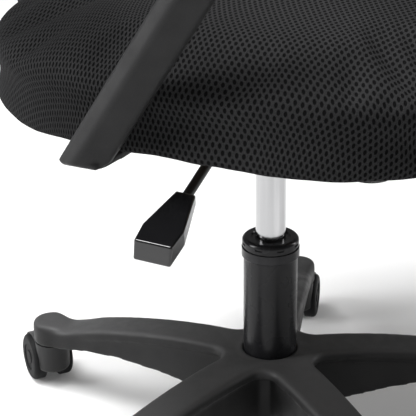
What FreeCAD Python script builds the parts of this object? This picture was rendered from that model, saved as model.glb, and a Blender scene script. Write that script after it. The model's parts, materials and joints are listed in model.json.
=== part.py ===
import FreeCAD, Part
import math
import os

import Sketcher
from FreeCAD import Placement, Rotation, Vector

# Swivel office chair. Millimetres, +Z up, origin on the floor under the column axis.
# The sitter faces -Y, so the sitter's right hand is on the -X side.

SIZES = {
    # five-star base
    "base_reach": 244.0,          # column axis to each caster stem
    "base_top": 101.0,            # hub top
    "base_bottom": 42.0,
    "arm_crown_start": 36.0,      # where the flat hub top turns into the arm's long curve
    "arm_crown_curve": 660.0,
    "flange_depth": 10.0,
    "flange_hub_width": 44.0,
    "flange_end_width": 36.5,
    "web_hub_width": 35.0,
    "web_end_width": 34.0,
    "valley_radius": 16.0,
    "boss_radius": 19.5,
    "boss_top": 75.0,
    "boss_bottom": 51.5,
    "hub_radius": 37.0,
    # column
    "tube_radius": 25.0,
    "tube_wall": 2.0,
    "tube_top": 208.0,
    "tube_bottom": 34.0,
    "tube_floor": 40.0,
    "tube_floor_depth": 3.0,
    "cap_radius": 26.8,
    "cap_bottom": 198.0,
    "cap_top": 217.0,
    "piston_radius": 14.0,
    "piston_bore": 12.5,
    "piston_bottom": 140.0,
    "piston_top": 358.0,
    "rod_radius": 5.0,
    "rod_top": 250.0,
    "running_gap": 0.05,
    # casters
    "stem_radius": 5.5,
    "caster_trail": 23.0,
    "wheel_radius": 24.2,
    "wheel_width": 12.9,
    "web_width": 14.0,
    "hood_width": 33.0,
    "hood_radius": 25.8,
    "hood_wall": 1.2,
    "barrel_radius": 17.4,        # upright part of the hood, round the stem
    "barrel_back": 5.0,
    "axle_radius": 4.0,
    # tilt mechanism
    "pivot_ahead": 50.0,          # tilt pin ahead of the column
    "pivot_height": 368.0,
    "pin_radius": 5.0,
    "housing_width": 100.0,
    "housing_wall": 3.0,
    "plate_bottom": 384.0,
    "plate_depth": 6.0,
    "knob_ahead": 95.0,
    "knob_radius": 22.0,
    "knob_bottom": 294.0,
    "knob_height": 20.0,
    # lever
    "lever_height": 367.0,
    "lever_radius": 4.0,
    "lever_yaw": 4.5,
    "lever_droop": 14.5,
    "lever_roll": 4.0,
    "lever_offset": 19.4,         # lever's line ahead of the column axis, in its own frame
    "rocker_ahead": 50.0,
    "rocker_pin_height": 354.5,
    # seat
    "seat_half_width": 243.0,
    "seat_front": 265.0,
    "seat_back": 190.0,
    "seat_bottom": 382.0,
    "seat_top": 468.0,
    "seat_front_corner": 165.0,
    "seat_back_corner": 140.0,
    "board_depth": 12.0,
    "skirt": 28.0,
    # arms
    "arm_line": 262.0,            # middle of the arm's section, out from the centre
    "pad_length": 230.0,
    "pad_width": 54.0,
    "pad_depth": 20.0,
    # back
    "back_bottom": 520.0,
    "back_height": 465.0,
    "back_recline": 8.0,
    "back_curve": 600.0,
    "back_depth": 18.0,
    "back_place": 242.0,          # rear face of the frame's foot, behind the column axis
}

ARM_ANGLES = [18, 90, 162, 234, 306]
# the way each caster trails at rest, as an angle about +Z
TRAIL_ANGLES = [16, 50, 120, 250, 330]
X, Y, Z = Vector(1, 0, 0), Vector(0, 1, 0), Vector(0, 0, 1)

doc = FreeCAD.newDocument("OfficeChair")
sheet = doc.addObject("Spreadsheet::Sheet", "Sizes")


class Size(float):
    """A length that also carries the sheet expression that gives it."""

    def __new__(cls, value, text):
        size = super().__new__(cls, value)
        size.text = text
        return size

    def __add__(self, other):
        return combine(self, "+", other, float(self) + float(other))

    def __sub__(self, other):
        return combine(self, "-", other, float(self) - float(other))

    def __mul__(self, other):
        return combine(self, "*", other, float(self) * float(other))

    def __truediv__(self, other):
        return combine(self, "/", other, float(self) / float(other))

    def __neg__(self):
        return Size(-float(self), f"(0 - {self.text})")


def text_of(value):
    return value.text if isinstance(value, Size) else f"({float(value)!r})"


def combine(left, sign, right, value):
    return Size(value, f"({text_of(left)} {sign} {text_of(right)})")


def fill_sheet():
    """Write every driving size into the sheet, and hand them back as Size values."""
    for row, (alias, value) in enumerate(SIZES.items(), start=1):
        sheet.set(f"A{row}", alias)
        sheet.set(f"B{row}", str(value))
        sheet.setAlias(f"B{row}", alias)
    doc.recompute()
    return {alias: Size(value, f"Sizes.{alias}") for alias, value in SIZES.items()}


S = fill_sheet()


def bind(item, **values):
    """Set number properties, bound to the sheet where the value comes from it."""
    for name, value in values.items():
        setattr(item, name, float(value))
        if isinstance(value, Size):
            item.setExpression(name, value.text)


# --- sketches and solids -------------------------------------------------------------


class Bend:
    """A round stretch of an outline: the arc's radius, positive when it turns left."""

    def __init__(self, radius):
        self.radius = radius


def arc_centre(first, last, bend):
    chord = last - first
    half = chord.Length / 2
    away = math.sqrt(max(float(abs(bend.radius)) ** 2 - half ** 2, 0))
    side = Vector(-chord.y, chord.x, 0).normalize() * (away if bend.radius > 0 else -away)
    return first + chord * 0.5 + side


def draw_outline(sketch, outline):
    """Lines and arcs through the corners, each corner pinned to its sheet expression."""
    corners = [item for item in outline if not isinstance(item, Bend)]
    bends = {}
    for item in outline:
        if isinstance(item, Bend):
            bends[len(bends_before(outline, item)) - 1] = item
    count = len(corners)
    starts = []
    for index in range(count):
        first = Vector(*corners[index], 0)
        last = Vector(*corners[(index + 1) % count], 0)
        bend = bends.get(index)
        if bend is None:
            sketch.addGeometry(Part.LineSegment(first, last))
            starts.append((1, 2))
            continue
        centre = arc_centre(first, last, bend)
        left = bend.radius > 0
        begin, end = (first, last) if left else (last, first)
        angles = [math.atan2(p.y - centre.y, p.x - centre.x) for p in (begin, end)]
        circle = Part.Circle(centre, Z, float(abs(bend.radius)))
        sketch.addGeometry(Part.ArcOfCircle(circle, angles[0], angles[1]))
        starts.append((1, 2) if left else (2, 1))
    for index in range(count):
        after = (index + 1) % count
        sketch.addConstraint(Sketcher.Constraint(
            "Coincident", index, starts[index][1], after, starts[after][0]))
    for index, corner in enumerate(corners):
        for kind, value in zip(("DistanceX", "DistanceY"), corner):
            pin_corner(sketch, kind, index, starts[index][0], value)
    for index, bend in bends.items():
        pin_radius(sketch, index, bend)


def bends_before(outline, item):
    return [other for other in outline[:outline.index(item)] if not isinstance(other, Bend)]


def pin_corner(sketch, kind, index, end, value):
    number = sketch.addConstraint(
        Sketcher.Constraint(kind, -1, 1, index, end, float(value)))
    if isinstance(value, Size):
        sketch.setExpression(f"Constraints[{number}]", value.text)


def pin_radius(sketch, index, bend):
    number = sketch.addConstraint(
        Sketcher.Constraint("Radius", index, float(abs(bend.radius))))
    if isinstance(bend.radius, Size):
        text = bend.radius.text if bend.radius > 0 else f"(0 - {bend.radius.text})"
        sketch.setExpression(f"Constraints[{number}]", text)


def sketch_in(body, outline, plane="XZ_Plane"):
    sketch = body.newObject("Sketcher::SketchObject", f"{body.Name}_outline")
    base = next(item for item in body.Origin.OriginFeatures if item.Role == plane)
    sketch.AttachmentSupport = [(base, "")]
    sketch.MapMode = "FlatFace"
    draw_outline(sketch, outline)
    return sketch


def turned(name, outline):
    """A body turned about Z from an outline of (radius, height) corners."""
    body = doc.addObject("PartDesign::Body", name)
    sketch = sketch_in(body, outline)
    turn = body.newObject("PartDesign::Revolution", f"{name}_turn")
    turn.Profile = sketch
    turn.ReferenceAxis = (sketch, ["V_Axis"])
    turn.Angle = 360
    sketch.Visibility = False
    return body


def padded(name, outline, plane, length, middle=True):
    """A body padded from an outline, to both sides of its plane or to one."""
    body = doc.addObject("PartDesign::Body", name)
    sketch = sketch_in(body, outline, plane)
    pad = body.newObject("PartDesign::Pad", f"{name}_pad")
    pad.Profile = sketch
    bind(pad, Length=length)
    pad.Midplane = middle
    return body


def box(name, low, high):
    """A box between two corners."""
    item = doc.addObject("Part::Box", name)
    bind(item, Length=high[0] - low[0], Width=high[1] - low[1], Height=high[2] - low[2])
    move(item, low)
    return item


def rod(name, radius, low, high, at=(0, 0), along="z"):
    """A cylinder along one axis; `at` holds its other two coordinates in X, Y, Z order."""
    item = doc.addObject("Part::Cylinder", name)
    bind(item, Radius=radius, Height=high - low)
    turns = {"x": Rotation(Y, 90), "y": Rotation(X, -90), "z": Rotation()}
    places = {"x": (low, *at), "y": (at[0], low, at[1]), "z": (*at, low)}
    item.Placement = Placement(Vector(), turns[along])
    move(item, places[along])
    return item


def move(item, place):
    item.Placement.Base = Vector(*[float(value) for value in place])
    for axis, value in zip("xyz", place):
        if isinstance(value, Size):
            item.setExpression(f"Placement.Base.{axis}", value.text)


def fuse(name, items):
    joined = doc.addObject("Part::MultiFuse", name)
    joined.Shapes = items
    joined.Refine = True
    return joined


def cut(name, base, tools):
    tool = tools[0] if len(tools) == 1 else fuse(f"{name}_tools", tools)
    piece = doc.addObject("Part::Cut", name)
    piece.Base = base
    piece.Tool = tool
    return piece


def common(name, first, second):
    piece = doc.addObject("Part::Common", name)
    piece.Base = first
    piece.Tool = second
    return piece


def group(name, items):
    """Separate solids that share one node."""
    item = doc.addObject("Part::Compound", name)
    item.Links = items
    return item


def rounded_edges(name, base, radius, choose):
    """Fillet the edges of a finished shape that `choose` picks."""
    doc.recompute()
    numbers = [n for n, edge in enumerate(base.Shape.Edges, start=1) if choose(edge)]
    piece = doc.addObject("Part::Fillet", name)
    piece.Base = base
    piece.Edges = [(n, float(radius), float(radius)) for n in numbers]
    return piece


def body_fillet(body, radius, choose):
    """Fillet the chosen edges inside a body."""
    doc.recompute()
    last = body.Tip
    numbers = [n for n, edge in enumerate(last.Shape.Edges, start=1) if choose(edge)]
    fillet = body.newObject("PartDesign::Fillet", f"{body.Name}_fillet_{len(body.Group)}")
    fillet.Base = (last, [f"Edge{n}" for n in numbers])
    bind(fillet, Radius=radius)
    return fillet


def shaped(name, shape, placement=Placement()):
    """A piece whose shape is worked out with Part's own functions."""
    item = doc.addObject("Part::Feature", name)
    item.Shape = shape
    item.Placement = placement.multiply(shape.Placement)
    return item


def smooth_wire(points, radii, closed=False):
    """Straight runs between points, joined by tangent arcs of the given radii."""
    count = len(points)
    inner = range(count) if closed else range(1, count - 1)
    tangents = {}
    edges = []
    for index in inner:
        here = points[index]
        back = (points[index - 1] - here).normalize()
        ahead = (points[(index + 1) % count] - here).normalize()
        half = back.getAngle(ahead) / 2
        reach = radii[index] / math.tan(half)
        middle = (back + ahead).normalize() * (radii[index] / math.sin(half) - radii[index])
        tangents[index] = (here + back * reach, here + middle, here + ahead * reach)
    for index in range(count if closed else count - 1):
        after = (index + 1) % count
        start = tangents[index][2] if index in tangents else points[index]
        end = tangents[after][0] if after in tangents else points[after]
        edges.append(Part.LineSegment(start, end).toShape())
        if after in tangents:
            edges.append(Part.Arc(*tangents[after]).toShape())
    return Part.Wire(edges)


def swept(path, section, binormal):
    """A solid swept along a flat path, its section kept square to the path's plane."""
    pipe = Part.BRepOffsetAPI.MakePipeShell(path)
    pipe.setBiNormalMode(binormal)
    pipe.add(section)
    pipe.build()
    pipe.makeSolid()
    return pipe.shape()


# --- five-star base -------------------------------------------------------------------


def arm_top(reach):
    """Height of the base's upper face at a distance from the column axis."""
    past = max(reach - float(S["arm_crown_start"]), 0)
    curve = float(S["arm_crown_curve"])
    return float(S["base_top"]) - curve + math.sqrt(curve ** 2 - past ** 2)


def five(body, feature):
    """Repeat a pad for the five arms."""
    pattern = body.newObject("PartDesign::PolarPattern", f"{body.Name}_arms")
    pattern.Originals = [feature]
    pattern.Axis = (feature.Profile[0], ["N_Axis"])
    pattern.Angle = 360
    pattern.Occurrences = len(ARM_ANGLES)
    body.Tip = pattern
    return pattern


def star_pad(name, hub_width, end_width, valley):
    """Five flat-sided arms with rounded valleys between them, taller than the base."""
    reach = S["base_reach"]
    outline = [(0.0, -hub_width / 2), (reach, -end_width / 2), (reach, end_width / 2),
               (0.0, hub_width / 2)]
    body = padded(name, outline, "XY_Plane", S["base_top"] + 20, middle=False)
    doc.recompute()
    five(body, body.Tip)

    def in_valley(edge):
        first, last = edge.Vertexes[0].Point, edge.Vertexes[-1].Point
        out = math.hypot(first.x, first.y)
        upright = abs(first.z - last.z) > 50
        return upright and 10 < out < 100

    body_fillet(body, valley, in_valley)
    body.Placement = Placement(Vector(), Rotation(Z, ARM_ANGLES[0]))
    return body


def crown_outline(top_drop, under):
    """Half section of the star: crowned upper face, and the given lower corners."""
    start, reach, curve = S["arm_crown_start"], S["base_reach"] + 2, S["arm_crown_curve"]
    top = S["base_top"] - top_drop
    end_height = arm_top(reach) - top_drop
    return [(0.0, top), (start, top), Bend(-curve), (reach, end_height)] + under


def star_base():
    """Nylon star: a crowned flange over narrower webs, a hub barrel and five bosses."""
    reach = S["base_reach"] + 2
    flange_under = [(reach, arm_top(reach) - S["flange_depth"]), Bend(S["arm_crown_curve"]),
                    (S["arm_crown_start"], S["base_top"] - S["flange_depth"]),
                    (0.0, S["base_top"] - S["flange_depth"])]
    flange_star = star_pad("FlangeStar", S["flange_hub_width"], S["flange_end_width"],
                           S["valley_radius"])
    flange = common("Flange", flange_star, turned("FlangeCrown", crown_outline(0, flange_under)))

    def upper_rim(edge):
        middle = edge.valueAt((edge.FirstParameter + edge.LastParameter) / 2)
        out = math.hypot(middle.x, middle.y)
        near_top = abs(middle.z - arm_top(out)) < 1.0
        across_end = out > S["base_reach"] - 1
        return near_top and not across_end and out > 44

    soft_flange = rounded_edges("SoftFlange", flange, 5.0, upper_rim)
    web_under = [(reach, S["boss_bottom"]), (224.0, S["boss_bottom"] + 0.5), (196.0, 56.5),
                 (160.0, 58.0), (112.0, 54.0), (72.0, 47.5), (48.0, S["base_bottom"]),
                 (0.0, S["base_bottom"])]
    web_star = star_pad("WebStar", S["web_hub_width"], S["web_end_width"], 8.0)
    web = common("Web", web_star,
                 turned("WebCrown", crown_outline(S["flange_depth"] - 1, web_under)))
    barrel = turned("HubBarrel", [
        (0.0, S["base_bottom"]), (S["hub_radius"] - 3, S["base_bottom"]),
        (S["hub_radius"], S["base_bottom"] + 3), (S["hub_radius"], S["base_top"] - 8),
        (0.0, S["base_top"] - 8)])
    collar = turned("HubCollar", [
        (0.0, S["base_top"] - 4), (28.6, S["base_top"] - 4), (28.0, S["base_top"] + 1),
        (0.0, S["base_top"] + 1)])
    bosses = [end_boss(angle) for angle in ARM_ANGLES]
    whole = fuse("StarSolid", [soft_flange, web, barrel, collar] + bosses)
    holes = [rod("HubBore", S["tube_radius"], S["base_bottom"] - 5, S["base_top"] + 5)]
    for angle in ARM_ANGLES:
        holes.append(stem_bore(angle))
        holes.extend(rib_cells(angle))
    return cut("star_base", whole, holes)


def end_boss(angle):
    """Round boss over a caster stem, with a softened upper edge."""
    radius, soft = S["boss_radius"], 4.0
    boss = turned(f"Boss{angle}", [
        (0.0, S["boss_bottom"]), (radius - 1.5, S["boss_bottom"]), (radius, S["boss_bottom"] + 1.5),
        (radius, S["boss_top"] - soft), Bend(soft), (radius - soft, S["boss_top"]),
        (0.0, S["boss_top"])])
    boss.Placement = Placement(ring_place(angle), Rotation())
    return boss


def ring_place(angle, height=0.0):
    """A point on the ring of caster stems."""
    reach, turn = float(S["base_reach"]), math.radians(angle)
    return Vector(reach * math.cos(turn), reach * math.sin(turn), height)


def stem_bore(angle):
    bore = rod(f"StemBore{angle}", S["stem_radius"], S["boss_bottom"] - 2, S["boss_bottom"] + 13)
    bore.Placement = Placement(ring_place(angle, S["boss_bottom"] - 2), Rotation())
    return bore


def rib_cells(angle):
    """Open cells under one arm, between its side walls, cross ribs and upper skin."""
    cells = []
    length, wall, width = 40.0, 5.0, 25.0
    for number, start in enumerate((64.0, 64.0 + length + wall, 64.0 + 2 * (length + wall))):
        skin = arm_top(start + length) - float(S["flange_depth"]) + 1
        cell = doc.addObject("Part::Box", f"Cell{angle}_{number}")
        bind(cell, Length=length, Width=width, Height=skin - 30.0)
        turn = Rotation(Z, angle)
        cell.Placement = Placement(turn.multVec(Vector(start, -width / 2, 30.0)), turn)
        cells.append(cell)
    return cells


# --- gas lift ---------------------------------------------------------------------------


def column_tube():
    radius, inner = S["tube_radius"], S["tube_radius"] - S["tube_wall"]
    floor, floor_top = S["tube_floor"], S["tube_floor"] + S["tube_floor_depth"]
    hole = S["rod_radius"] + 0.3
    return turned("column_tube", [
        (inner, S["tube_bottom"]), (radius, S["tube_bottom"]), (radius, S["tube_top"]),
        (inner, S["tube_top"]), (inner, floor_top), (hole, floor_top), (hole, floor),
        (inner, floor)])


def column_cap():
    """Plastic collar over the tube's top, stepped, with slots round its upper ring."""
    radius, bottom, top = S["cap_radius"], S["cap_bottom"], S["cap_top"]
    ring = turned("CapRing", [
        (S["tube_radius"], bottom), (radius - 0.6, bottom), (radius, bottom + 0.8),
        (radius, bottom + 9), (radius - 1.2, bottom + 9.4), (radius - 1.2, bottom + 11),
        (radius - 0.4, bottom + 11.4), (radius - 0.4, top - 4), Bend(4.0),
        (radius - 4.4, top), (18.4, top), (17.6, top - 1.6), (S["piston_radius"] + 0.3, top - 1.6),
        (S["piston_radius"] + 0.3, S["tube_top"]), (S["tube_radius"], S["tube_top"])])
    slots = []
    for number in range(8):
        slot = doc.addObject("Part::Box", f"CapSlot{number}")
        bind(slot, Length=3.0, Width=7.0, Height=2.0)
        turn = Rotation(Z, number * 45.0)
        corner = Vector(float(radius) - 1.6, -3.5, float(bottom) + 13.0)
        slot.Placement = Placement(turn.multVec(corner), turn)
        slots.append(slot)
    return cut("column_cap", ring, slots)


def guide_bush():
    inner, outer = S["piston_radius"] + S["running_gap"], S["tube_radius"] - S["tube_wall"]
    return turned("guide_bush", [
        (inner, 128.0), (outer, 128.0), (outer, 206.0), (inner, 206.0)])


def thrust_bearing():
    """Lower washer, ball ring and upper washer that carry the lift at the tube's floor."""
    base = S["tube_floor"] + S["tube_floor_depth"]
    hole = S["rod_radius"] + 0.3
    turned("bearing_washer_lower", [
        (hole, base), (14.0, base), (14.0, base + 1.5), (hole, base + 1.5)])
    balls = []
    for number in range(8):
        ball = doc.addObject("Part::Sphere", f"Ball{number}")
        bind(ball, Radius=2.0)
        turn = Rotation(Z, number * 45.0)
        ball.Placement = Placement(turn.multVec(Vector(9.5, 0, float(base) + 3.5)), turn)
        balls.append(ball)
    group("bearing_balls", balls)
    gap = S["running_gap"]
    turned("bearing_washer_upper", [
        (S["rod_radius"], base + gap + 5.5), (14.0, base + gap + 5.5), (14.0, base + gap + 7),
        (S["rod_radius"], base + gap + 7)])


def piston_rod():
    """Rod that stands on the bearing; its head stays inside the cylinder."""
    radius, seat = S["rod_radius"], S["tube_floor"] + S["tube_floor_depth"] + S["running_gap"] + 7
    turned("piston_rod", [
        (0.0, 35.6), (radius - 0.6, 35.6), (radius, 36.2), (radius, 37.4), (radius - 0.9, 37.4),
        (radius - 0.9, 38.6), (radius, 38.6), (radius, seat), (radius + 3, seat),
        (radius + 3, seat + 3), (radius, seat + 3), (radius, S["rod_top"]), (0.0, S["rod_top"])])
    turned("rod_clip", [
        (radius - 0.9, 37.4), (radius + 3.5, 37.4), (radius + 3.5, 38.6), (radius - 0.9, 38.6)])
    outer = S["piston_bore"] - S["running_gap"]
    turned("piston_head", [
        (radius, S["rod_top"] - 14), (outer, S["rod_top"] - 14), (outer, S["rod_top"]),
        (radius, S["rod_top"])])


def gas_cylinder():
    radius, bore = S["piston_radius"], S["piston_bore"]
    bottom, top, pin = S["piston_bottom"], S["piston_top"], S["lever_radius"]
    turned("gas_cylinder", [
        (bore, bottom), (radius - 0.8, bottom), (radius, bottom + 0.8), (radius, top - 1),
        (radius - 1, top), (pin, top), (pin, top - 6), (bore, top - 6)])
    turned("gas_seal", [
        (S["rod_radius"] + S["running_gap"], bottom + 1), (bore, bottom + 1),
        (bore, bottom + 13), (S["rod_radius"] + S["running_gap"], bottom + 13)])
    button = pin - S["running_gap"]
    turned("valve_button", [
        (0.0, top - 16), (button - 0.5, top - 16), (button, top - 15.5), (button, top + 6),
        Bend(1.0), (button - 1, top + 7), (0.0, top + 7)])


# --- tilt mechanism ----------------------------------------------------------------------


def lever_turn():
    return Placement(Vector(), Rotation(Z, float(S["lever_yaw"])))


def mech_housing():
    """Pressed housing, open on top, with a socket for the lift and ears for the lever."""
    wall, width = S["housing_wall"], S["housing_width"]
    outer = [(-118.0, 346.0), (-72.0, 346.0), (-46.0, 330.0), (66.0, 330.0), (66.0, 360.5),
             (-S["pivot_ahead"], 379.0), (-118.0, 379.0)]
    inner = [(-115.0, 349.0), (-71.0, 349.0), (-45.0, 333.0), (63.0, 333.0), (63.0, 400.0),
             (-115.0, 400.0)]
    shell = cut("HousingShell", padded("HousingOuter", outer, "YZ_Plane", width),
                [padded("HousingInner", inner, "YZ_Plane", width - wall * 2)])
    socket = rod("Socket", 19.0, 322.0, 354.0)
    pieces = [shell, socket]
    ahead = float(S["rocker_ahead"])
    line = -float(S["lever_offset"])
    for number, side in enumerate((line - 12, line + 9)):
        ear = box(f"RockerEar{number}", (-ahead - 5, side, 333.0), (-ahead + 5, side + 3, 360.0))
        ear.Placement = lever_turn().multiply(ear.Placement)
        pieces.append(ear)
    window = box("LeverWindow", (-ahead - 9, line - 9, 348.0), (-ahead + 12, line + 9, 385.0))
    window.Placement = lever_turn().multiply(window.Placement)
    holes = [
        rod("LiftBore", S["piston_radius"], 310.0, 370.0),
        rod("BoltWindow", 10.0, 340.0, 352.0, (0.0, -S["knob_ahead"])),
        rod("PinBore", S["pin_radius"], -60.0, 60.0, (-S["pivot_ahead"], S["pivot_height"]), "x"),
        rocker_pin_shape("RockerPinBore"),
        window,
    ]
    return cut("mech_housing", fuse("HousingSolid", pieces), holes)


def rocker_pin_shape(name):
    pin = doc.addObject("Part::Cylinder", name)
    bind(pin, Radius=2.5, Height=26.0)
    end = Vector(-S["rocker_ahead"], -13 - float(S["lever_offset"]), S["rocker_pin_height"])
    pin.Placement = lever_turn().multiply(Placement(end, Rotation(X, -90)))
    return pin


def mech_pins():
    pin = rod("PinShank", S["pin_radius"], -58.0, 58.0,
              (-S["pivot_ahead"], S["pivot_height"]), "x")
    heads = [rod(f"PinHead{number}", S["pin_radius"] + 2.5, low, low + 2.5,
                 (-S["pivot_ahead"], S["pivot_height"]), "x")
             for number, low in enumerate((Size(-60.0, "(-60)"), Size(57.5, "(57.5)")))]
    fuse("tilt_pin", [pin] + heads)
    rocker_pin_shape("rocker_pin")


def tilt_spring():
    """Coil spring between the spring plate and the housing's floor."""
    low, high, coil, wire = 325.2, 345.4, 10.5, 1.4
    turns = 4
    rise = (high - low - 2 * wire) / turns
    path = Part.makeHelix(rise, rise * turns, coil)
    section = Part.Wire(Part.makeCircle(wire, Vector(coil, 0, 0), Y))
    spring = Part.Wire(path).makePipeShell([section], True, True)
    spring.translate(Vector(0, -float(S["knob_ahead"]), low + wire))
    shaped("tilt_spring", Part.Solid(spring) if spring.ShapeType == "Shell" else spring)


def tension_parts():
    """Hand knob and its bolt, and the plate that the thread drives against the spring."""
    bottom, height, radius = S["knob_bottom"], S["knob_height"], S["knob_radius"]
    place = Placement(Vector(0, -float(S["knob_ahead"]), 0), Rotation())
    knob = turned("KnobTurned", [
        (4.0, bottom), (radius - 3, bottom), Bend(3.0), (radius, bottom + 3),
        (radius, bottom + height - 2), (radius - 2, bottom + height), (4.0, bottom + height)])
    flutes = []
    for number in range(12):
        flute = rod(f"Flute{number}", 3.0, bottom - 1, bottom + height + 1)
        turn = Rotation(Z, number * 30.0)
        corner = turn.multVec(Vector(float(radius) + 1.4, 0, float(bottom) - 1))
        flute.setExpression("Placement.Base.z", None)
        flute.Placement = Placement(corner, turn)
        flutes.append(flute)
    cut("tension_knob", knob, flutes).Placement = place
    turned("tension_bolt", [
        (0.0, bottom + 2), (4.0, bottom + 2), (4.0, S["plate_bottom"] + 5),
        (0.0, S["plate_bottom"] + 5)]).Placement = place
    turned("spring_plate", [
        (4.06, 321.4), (16.0, 321.4), (16.0, 324.8), (4.06, 324.8)]).Placement = place


def mech_top_plate():
    """Plate bolted under the seat board, with an ear each side for the tilt pin."""
    bottom, top = S["plate_bottom"], S["plate_bottom"] + S["plate_depth"]
    plate = box("PlateFlat", (-75.0, -125.0, bottom), (75.0, 85.0, top))
    pieces = [plate]
    ahead = S["pivot_ahead"]
    for side, low in (("Left", 52.0), ("Right", -55.0)):
        pieces.append(box(f"PlateEar{side}", (low, -ahead - 13, S["pivot_height"] - 11),
                          (low + 3, -ahead + 13, bottom)))
    holes = [rod("EarBore", S["pin_radius"] + S["running_gap"], -60.0, 60.0,
                 (-ahead, S["pivot_height"]), "x"),
             rod("TensionBore", 4.0 + S["running_gap"], bottom - 1, top + 1,
                 (0.0, -S["knob_ahead"]))]
    for number, (x, y) in enumerate(MECH_BOLT_PLACES):
        holes.append(rod(f"PlateBolt{number}", 3.0, bottom - 1, top + 1, (x, y)))
    return cut("mech_top_plate", fuse("PlateSolid", pieces), holes)


MECH_BOLT_PLACES = [(-66.0, -108.0), (66.0, -108.0), (-66.0, 68.0), (66.0, 68.0)]


def bolt(name, radius, head_bottom, shank_top, place, head_height=4.0):
    """Hex bolt, its head below and its shank upward."""
    head = doc.addObject("Part::Prism", f"{name}_head")
    head.Polygon = 6
    bind(head, Circumradius=radius * 1.9, Height=head_height)
    move(head, (*place, head_bottom))
    shank = rod(f"{name}_shank", radius, head_bottom + head_height, shank_top, place)
    return fuse(name, [head, shank])


def mech_bolts():
    top = S["plate_bottom"] + S["plate_depth"] + S["board_depth"]
    group("mech_bolts", [bolt(f"MechBolt{number}", 3.0, S["plate_bottom"] - 4, top, place)
                         for number, place in enumerate(MECH_BOLT_PLACES)])


# --- lever ----------------------------------------------------------------------------------


def lever_parts():
    """Lift and tilt lever: a rocker over the valve, a bent rod and a flat paddle."""
    ahead, height, radius = S["rocker_ahead"], S["lever_height"], S["lever_radius"]
    line, turn = -S["lever_offset"], lever_turn()
    sleeve = rod("Sleeve", 7.0, -ahead - 16, -ahead + 14, (line, height), "x")
    lug = box("RockerLug", (-ahead - 6, line - 7, S["rocker_pin_height"] - 5),
              (-ahead + 6, line + 7, height))
    finger = box("Finger", (-ahead + 8, line - 6, height - 1.2), (5.0, 6.0, height + 3))
    bore = rod("SleeveBore", radius + S["running_gap"], -ahead - 20, -ahead + 11,
               (line, height), "x")
    pin_bore = rod("RockerBore", 2.5 + S["running_gap"], -60.0, 20.0,
                   (-ahead, S["rocker_pin_height"]), "y")
    rocker = cut("valve_rocker", fuse("RockerSolid", [sleeve, lug, finger]), [bore, pin_bore])
    rocker.Placement = turn

    slope = math.tan(math.radians(float(S["lever_droop"])))
    bend_at, rod_end = -182.0, -286.0
    level, side = float(height), float(line)
    points = [Vector(-float(ahead) + 8, side, level), Vector(bend_at, side, level),
              Vector(rod_end, side, level + (rod_end - bend_at) * slope)]
    path = smooth_wire(points, [0, 60, 0])
    section = Part.Wire(Part.makeCircle(float(radius), points[0], X))
    shaped("lever_rod", swept(path, section, Y), turn)

    start = -237.0
    place = Placement(Vector(start, side, level + (start - bend_at) * slope),
                      Rotation(Y, -float(S["lever_droop"])).multiply(
                          Rotation(X, float(S["lever_roll"]))))
    hole = rod("PaddleBore", radius, -51.0, 5.0, (0.0, 0.0), "x")
    handle = cut("lever_paddle", paddle_blank(), [hole])
    handle.Placement = turn.multiply(place)


def paddle_blank():
    """Wedge with a six-sided outline: thin at the rod, deep at its slanted outer end."""
    plan = padded("PaddlePlan", [
        (0.0, -8.0), (0.0, 8.0), (-44.0, 16.5), (-80.0, 14.0), (-80.0, -14.0), (-44.0, -16.5)],
        "XY_Plane", 40.0)
    side = padded("PaddleSide", [
        (0.0, 4.8), (-64.0, 4.8), (-69.0, -11.5), (0.0, -5.2)],
        "XZ_Plane", 40.0)
    blank = common("PaddleWedge", plan, side)
    return rounded_edges("PaddleSoft", blank, 1.8, lambda edge: True)


# --- seat --------------------------------------------------------------------------------------


def seat_outline(inset):
    """The seat seen from above, with large round corners, drawn in by an inset."""
    half, front, back = (S[name] - inset for name in (
        "seat_half_width", "seat_front", "seat_back"))
    ahead, behind = S["seat_front_corner"] - inset, S["seat_back_corner"] - inset
    return [(half, ahead - front), (half, back - behind), Bend(behind),
            (half - behind, back), (behind - half, back), Bend(behind),
            (-half, back - behind), (-half, ahead - front), Bend(ahead),
            (ahead - half, -front), (half - ahead, -front), Bend(ahead)]


def seat_parts():
    """Ply board, and the foam cushion that sits on it and wraps down round its edge."""
    bottom = S["plate_bottom"] + S["plate_depth"]
    top = bottom + S["board_depth"]
    board = padded("BoardBlank", seat_outline(S["skirt"]), "XY_Plane", S["board_depth"], False)
    board.Placement.Base = Vector(0, 0, float(bottom))
    holes = [rod(f"BoardHole{number}", 3.0, bottom - 1, top + 1, place)
             for number, place in enumerate(MECH_BOLT_PLACES + ARM_BOLT_PLACES)]
    cut("seat_board", board, holes)

    block = padded("CushionBlock", seat_outline(0), "XY_Plane",
                   S["seat_top"] - S["seat_bottom"], False)
    height = float(S["seat_top"] - S["seat_bottom"])
    body_fillet(block, 34.0, lambda edge: is_level(edge, height))
    body_fillet(block, 12.0, lambda edge: is_level(edge, 0))
    block.Placement.Base = Vector(0, 0, float(S["seat_bottom"]))
    hollow = padded("CushionHollow", seat_outline(S["skirt"]), "XY_Plane",
                    top - S["seat_bottom"] + 20, False)
    hollow.Placement.Base = Vector(0, 0, float(S["seat_bottom"]) - 20)
    cut("seat_cushion", block, [hollow])


def is_level(edge, height):
    return all(abs(vertex.Point.z - height) < 0.01 for vertex in edge.Vertexes)


# --- arms ------------------------------------------------------------------------------------------


ARM_FOOT = [(13.0, 19.0), (-36.0, 15.0), (-125.0, 15.0), (-125.0, 48.0), (13.0, 48.0)]
ARM_BOLT_PLACES = [(side * out, 32.0) for side in (-1, 1) for out in (150.0, 203.0)]
ARM_SOLE = 379.6
ARM_HEEL = Vector(0, 52.3, 350.0)
ARM_KNEE = Vector(0, -97.0, 580.0)
ARM_TOP_FRONT = Vector(0, -62.0, 663.0)
ARM_TOP_BACK = Vector(0, 218.0, 648.0)


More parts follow.
